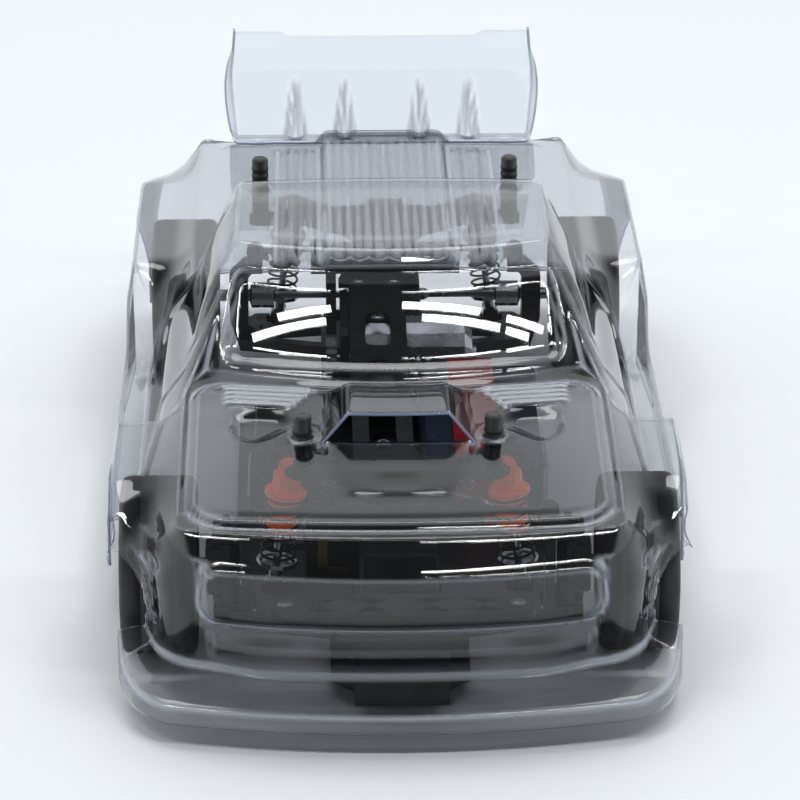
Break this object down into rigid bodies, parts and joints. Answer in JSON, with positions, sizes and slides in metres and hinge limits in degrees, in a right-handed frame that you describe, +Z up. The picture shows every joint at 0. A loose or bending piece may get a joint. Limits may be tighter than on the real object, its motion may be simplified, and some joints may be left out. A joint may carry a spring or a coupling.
{
  "type": "rc drift car",
  "caption": "Remote control drift car with a clear pickup body shell, tall rear wing, sprung arms, steered front wheels and geared rear drive.",
  "frame": {"origin": "under the middle of the car's bounding box, on the ground the tyres stand on", "axes": "-Y forward, +Y rearward along the length, +X to the car's left, +Z up"},
  "size_m": [0.208, 0.424, 0.1185],
  "materials": {
    "clear_polycarbonate": "clear, glossy, vacuum-formed",
    "tyre_rubber": "satin, smooth drift compound",
    "dark_grey_plastic": "satin",
    "orange_red_anodised": "anodised satin",
    "spring_enamel": "black enamelled spring wire",
    "bright_steel": "turned",
    "servo_case": "gold label on a dark case",
    "battery_wrap": "shrink wrap",
    "red_strap": "hook-and-loop tape",
    "black_nylon": "moulded, fine grain"
  },
  "bodies": {
    "chassis": {"chassis_plate": "black_nylon", "top_deck": "dark_grey_plastic", "front_bumper": "black_nylon", "front_bulkhead": "black_nylon", "rear_gearbox": "black_nylon", "front_shock_tower": "black_nylon", "rear_shock_tower": "black_nylon", "front_body_mount": "black_nylon", "rear_body_mount": "black_nylon", "motor": "bright_steel", "battery": "battery_wrap", "battery_strap": "red_strap", "speed_controller": "black_nylon", "receiver": "dark_grey_plastic", "steering_servo": "servo_case"},
    "shell": {"body_shell": "clear_polycarbonate", "rear_wing": "clear_polycarbonate"},
    "front_left_arm": {"front_left_lower_arm": "black_nylon"},
    "front_left_link": {"front_left_upper_link": "black_nylon"},
    "front_left_damper": {"front_left_shock_body": "orange_red_anodised", "front_left_shock_spring": "spring_enamel"},
    "front_left_shaft": {"front_left_shock_shaft": "bright_steel"},
    "front_left_caster": {"front_left_caster_block": "black_nylon"},
    "front_left_steering": {"front_left_knuckle": "black_nylon"},
    "front_left_wheel": {"front_left_rim": "dark_grey_plastic", "front_left_tyre": "tyre_rubber"},
    "front_right_arm": {"front_right_lower_arm": "black_nylon"},
    "front_right_link": {"front_right_upper_link": "black_nylon"},
    "front_right_damper": {"front_right_shock_body": "orange_red_anodised", "front_right_shock_spring": "spring_enamel"},
    "front_right_shaft": {"front_right_shock_shaft": "bright_steel"},
    "front_right_caster": {"front_right_caster_block": "black_nylon"},
    "front_right_steering": {"front_right_knuckle": "black_nylon"},
    "front_right_wheel": {"front_right_rim": "dark_grey_plastic", "front_right_tyre": "tyre_rubber"},
    "rear_left_arm": {"rear_left_lower_arm": "black_nylon"},
    "rear_left_link": {"rear_left_upper_link": "black_nylon"},
    "rear_left_damper": {"rear_left_shock_body": "black_nylon", "rear_left_shock_spring": "spring_enamel"},
    "rear_left_shaft": {"rear_left_shock_shaft": "bright_steel"},
    "rear_left_upright": {"rear_left_hub": "black_nylon"},
    "rear_left_wheel": {"rear_left_rim": "dark_grey_plastic", "rear_left_tyre": "tyre_rubber", "rear_left_axle": "bright_steel"},
    "rear_left_driveshaft": {"rear_left_drive_shaft": "bright_steel"},
    "rear_right_arm": {"rear_right_lower_arm": "black_nylon"},
    "rear_right_link": {"rear_right_upper_link": "black_nylon"},
    "rear_right_damper": {"rear_right_shock_body": "black_nylon", "rear_right_shock_spring": "spring_enamel"},
    "rear_right_shaft": {"rear_right_shock_shaft": "bright_steel"},
    "rear_right_upright": {"rear_right_hub": "black_nylon"},
    "rear_right_wheel": {"rear_right_rim": "dark_grey_plastic", "rear_right_tyre": "tyre_rubber", "rear_right_axle": "bright_steel"},
    "rear_right_driveshaft": {"rear_right_drive_shaft": "bright_steel"},
    "spur": {"spur_gear": "dark_grey_plastic"},
    "pinion": {"motor_pinion": "bright_steel"},
    "horn": {"servo_horn": "orange_red_anodised"},
    "left_rod": {"left_tie_rod": "bright_steel"},
    "right_rod": {"right_tie_rod": "bright_steel"}
  },
  "joints": [
    {"name": "shell_lift", "type": "slide", "parent": "chassis", "child": "shell", "axis": [0, 0, 1], "range_m": [0, 0.1]},
    {"name": "front_left_suspension", "type": "hinge", "parent": "chassis", "child": "front_left_arm", "pos_m": [0.02, -0.125, 0.013], "axis": [0, -1, 0], "range_deg": [-7, 5], "stiffness_Nm_per_rad": 1.5, "springref_deg": -5.16},
    {"name": "front_left_link_pivot", "type": "hinge", "parent": "chassis", "child": "front_left_link", "pos_m": [0.027, -0.125, 0.051], "axis": [0, -1, 0], "range_deg": [-9.8, 7]},
    {"name": "front_left_damper_pivot", "type": "hinge", "parent": "chassis", "child": "front_left_damper", "pos_m": [0.038, -0.112, 0.061], "axis": [0, -1, 0], "range_deg": [-0.16, 0.22]},
    {"name": "front_left_damper_stroke", "type": "slide", "parent": "front_left_damper", "child": "front_left_shaft", "axis": [-0.1254, 0, 0.9921], "range_m": [-0.003, 0.0022], "deforming": ["front_left_shock_spring"]},
    {"name": "front_left_hub_pivot", "type": "hinge", "parent": "front_left_arm", "child": "front_left_caster", "pos_m": [0.0555, -0.125, 0.013], "axis": [0, -1, 0], "range_deg": [-5, 7]},
    {"name": "front_left_steer", "type": "hinge", "parent": "front_left_caster", "child": "front_left_steering", "pos_m": [0.06, -0.125, 0.031], "axis": [0, 0, 1], "range_deg": [-24, 24]},
    {"name": "front_left_wheel_spin", "type": "hinge", "parent": "front_left_steering", "child": "front_left_wheel", "pos_m": [0.083, -0.125, 0.031], "axis": [1, 0, 0], "continuous": true},
    {"name": "front_right_suspension", "type": "hinge", "parent": "chassis", "child": "front_right_arm", "pos_m": [-0.02, -0.125, 0.013], "axis": [0, 1, 0], "range_deg": [-7, 5], "stiffness_Nm_per_rad": 1.5, "springref_deg": -5.16},
    {"name": "front_right_link_pivot", "type": "hinge", "parent": "chassis", "child": "front_right_link", "pos_m": [-0.027, -0.125, 0.051], "axis": [0, 1, 0], "range_deg": [-9.8, 7]},
    {"name": "front_right_damper_pivot", "type": "hinge", "parent": "chassis", "child": "front_right_damper", "pos_m": [-0.038, -0.112, 0.061], "axis": [0, 1, 0], "range_deg": [-0.16, 0.22]},
    {"name": "front_right_damper_stroke", "type": "slide", "parent": "front_right_damper", "child": "front_right_shaft", "axis": [0.1254, 0, 0.9921], "range_m": [-0.003, 0.0022], "deforming": ["front_right_shock_spring"]},
    {"name": "front_right_hub_pivot", "type": "hinge", "parent": "front_right_arm", "child": "front_right_caster", "pos_m": [-0.0555, -0.125, 0.013], "axis": [0, 1, 0], "range_deg": [-5, 7]},
    {"name": "front_right_steer", "type": "hinge", "parent": "front_right_caster", "child": "front_right_steering", "pos_m": [-0.06, -0.125, 0.031], "axis": [0, 0, 1], "range_deg": [-24, 24]},
    {"name": "front_right_wheel_spin", "type": "hinge", "parent": "front_right_steering", "child": "front_right_wheel", "pos_m": [-0.083, -0.125, 0.031], "axis": [1, 0, 0], "continuous": true},
    {"name": "rear_left_suspension", "type": "hinge", "parent": "chassis", "child": "rear_left_arm", "pos_m": [0.02, 0.132, 0.013], "axis": [0, -1, 0], "range_deg": [-7, 5], "stiffness_Nm_per_rad": 1.5, "springref_deg": -6.3},
    {"name": "rear_left_link_pivot", "type": "hinge", "parent": "chassis", "child": "rear_left_link", "pos_m": [0.027, 0.132, 0.051], "axis": [0, -1, 0], "range_deg": [-9.8, 7]},
    {"name": "rear_left_damper_pivot", "type": "hinge", "parent": "chassis", "child": "rear_left_damper", "pos_m": [0.038, 0.145, 0.061], "axis": [0, -1, 0], "range_deg": [-0.16, 0.22]},
    {"name": "rear_left_damper_stroke", "type": "slide", "parent": "rear_left_damper", "child": "rear_left_shaft", "axis": [-0.1254, 0, 0.9921], "range_m": [-0.003, 0.0022], "deforming": ["rear_left_shock_spring"]},
    {"name": "rear_left_hub_pivot", "type": "hinge", "parent": "rear_left_arm", "child": "rear_left_upright", "pos_m": [0.0555, 0.132, 0.013], "axis": [0, -1, 0], "range_deg": [-5, 7]},
    {"name": "rear_left_wheel_spin", "type": "hinge", "parent": "rear_left_upright", "child": "rear_left_wheel", "pos_m": [0.0805, 0.132, 0.031], "axis": [1, 0, 0], "continuous": true},
    {"name": "rear_left_drive_shaft_swing", "type": "hinge", "parent": "chassis", "child": "rear_left_driveshaft", "pos_m": [0.0151, 0.132, 0.031], "axis": [0, -1, 0], "range_deg": [-7.9, 5.7]},
    {"name": "rear_right_suspension", "type": "hinge", "parent": "chassis", "child": "rear_right_arm", "pos_m": [-0.02, 0.132, 0.013], "axis": [0, 1, 0], "range_deg": [-7, 5], "stiffness_Nm_per_rad": 1.5, "springref_deg": -6.3},
    {"name": "rear_right_link_pivot", "type": "hinge", "parent": "chassis", "child": "rear_right_link", "pos_m": [-0.027, 0.132, 0.051], "axis": [0, 1, 0], "range_deg": [-9.8, 7]},
    {"name": "rear_right_damper_pivot", "type": "hinge", "parent": "chassis", "child": "rear_right_damper", "pos_m": [-0.038, 0.145, 0.061], "axis": [0, 1, 0], "range_deg": [-0.16, 0.22]},
    {"name": "rear_right_damper_stroke", "type": "slide", "parent": "rear_right_damper", "child": "rear_right_shaft", "axis": [0.1254, 0, 0.9921], "range_m": [-0.003, 0.0022], "deforming": ["rear_right_shock_spring"]},
    {"name": "rear_right_hub_pivot", "type": "hinge", "parent": "rear_right_arm", "child": "rear_right_upright", "pos_m": [-0.0555, 0.132, 0.013], "axis": [0, 1, 0], "range_deg": [-5, 7]},
    {"name": "rear_right_wheel_spin", "type": "hinge", "parent": "rear_right_upright", "child": "rear_right_wheel", "pos_m": [-0.0805, 0.132, 0.031], "axis": [1, 0, 0], "continuous": true},
    {"name": "rear_right_drive_shaft_swing", "type": "hinge", "parent": "chassis", "child": "rear_right_driveshaft", "pos_m": [-0.0151, 0.132, 0.031], "axis": [0, 1, 0], "range_deg": [-7.9, 5.7]},
    {"name": "spur_spin", "type": "hinge", "parent": "chassis", "child": "spur", "pos_m": [-0.024, 0.1015, 0.034], "axis": [1, 0, 0], "continuous": true},
    {"name": "pinion_spin", "type": "hinge", "parent": "chassis", "child": "pinion", "pos_m": [-0.024, 0.07577, 0.0258], "axis": [1, 0, 0], "continuous": true},
    {"name": "servo_horn_turn", "type": "hinge", "parent": "chassis", "child": "horn", "pos_m": [0, -0.0935, 0.039], "axis": [0, 0, 1], "range_deg": [-24, 24]},
    {"name": "left_rod_pivot", "type": "hinge", "parent": "horn", "child": "left_rod", "pos_m": [0, -0.0775, 0.0423], "axis": [0, 0, 1], "range_deg": [-24, 24]},
    {"name": "right_rod_pivot", "type": "hinge", "parent": "horn", "child": "right_rod", "pos_m": [0, -0.0775, 0.0356], "axis": [0, 0, 1], "range_deg": [-24, 24]}
  ],
  "couplings": [
    {"joint": "front_left_link_pivot", "follows": "front_left_suspension", "ratio": 1.39},
    {"joint": "front_left_damper_pivot", "follows": "front_left_suspension", "ratio": -0.03},
    {"joint": "front_left_damper_stroke", "follows": "front_left_suspension", "m_per_rad": 0.02385},
    {"joint": "front_left_hub_pivot", "follows": "front_left_suspension", "ratio": -1},
    {"joint": "front_right_link_pivot", "follows": "front_right_suspension", "ratio": 1.39},
    {"joint": "front_right_damper_pivot", "follows": "front_right_suspension", "ratio": -0.03},
    {"joint": "front_right_damper_stroke", "follows": "front_right_suspension", "m_per_rad": 0.02385},
    {"joint": "front_right_hub_pivot", "follows": "front_right_suspension", "ratio": -1},
    {"joint": "rear_left_link_pivot", "follows": "rear_left_suspension", "ratio": 1.39},
    {"joint": "rear_left_damper_pivot", "follows": "rear_left_suspension", "ratio": -0.03},
    {"joint": "rear_left_damper_stroke", "follows": "rear_left_suspension", "m_per_rad": 0.02385},
    {"joint": "rear_left_hub_pivot", "follows": "rear_left_suspension", "ratio": -1},
    {"joint": "rear_left_drive_shaft_swing", "follows": "rear_left_suspension", "ratio": 1.116},
    {"joint": "rear_right_link_pivot", "follows": "rear_right_suspension", "ratio": 1.39},
    {"joint": "rear_right_damper_pivot", "follows": "rear_right_suspension", "ratio": -0.03},
    {"joint": "rear_right_damper_stroke", "follows": "rear_right_suspension", "m_per_rad": 0.02385},
    {"joint": "rear_right_hub_pivot", "follows": "rear_right_suspension", "ratio": -1},
    {"joint": "rear_right_drive_shaft_swing", "follows": "rear_right_suspension", "ratio": 1.116},
    {"joint": "rear_right_wheel_spin", "follows": "rear_left_wheel_spin", "ratio": 1},
    {"joint": "spur_spin", "follows": "rear_left_wheel_spin", "ratio": -2},
    {"joint": "pinion_spin", "follows": "rear_left_wheel_spin", "ratio": 4},
    {"joint": "servo_horn_turn", "follows": "front_left_steer", "ratio": 1},
    {"joint": "front_right_steer", "follows": "front_left_steer", "ratio": 1},
    {"joint": "left_rod_pivot", "follows": "front_left_steer", "ratio": -1},
    {"joint": "right_rod_pivot", "follows": "front_left_steer", "ratio": -1}
  ]
}
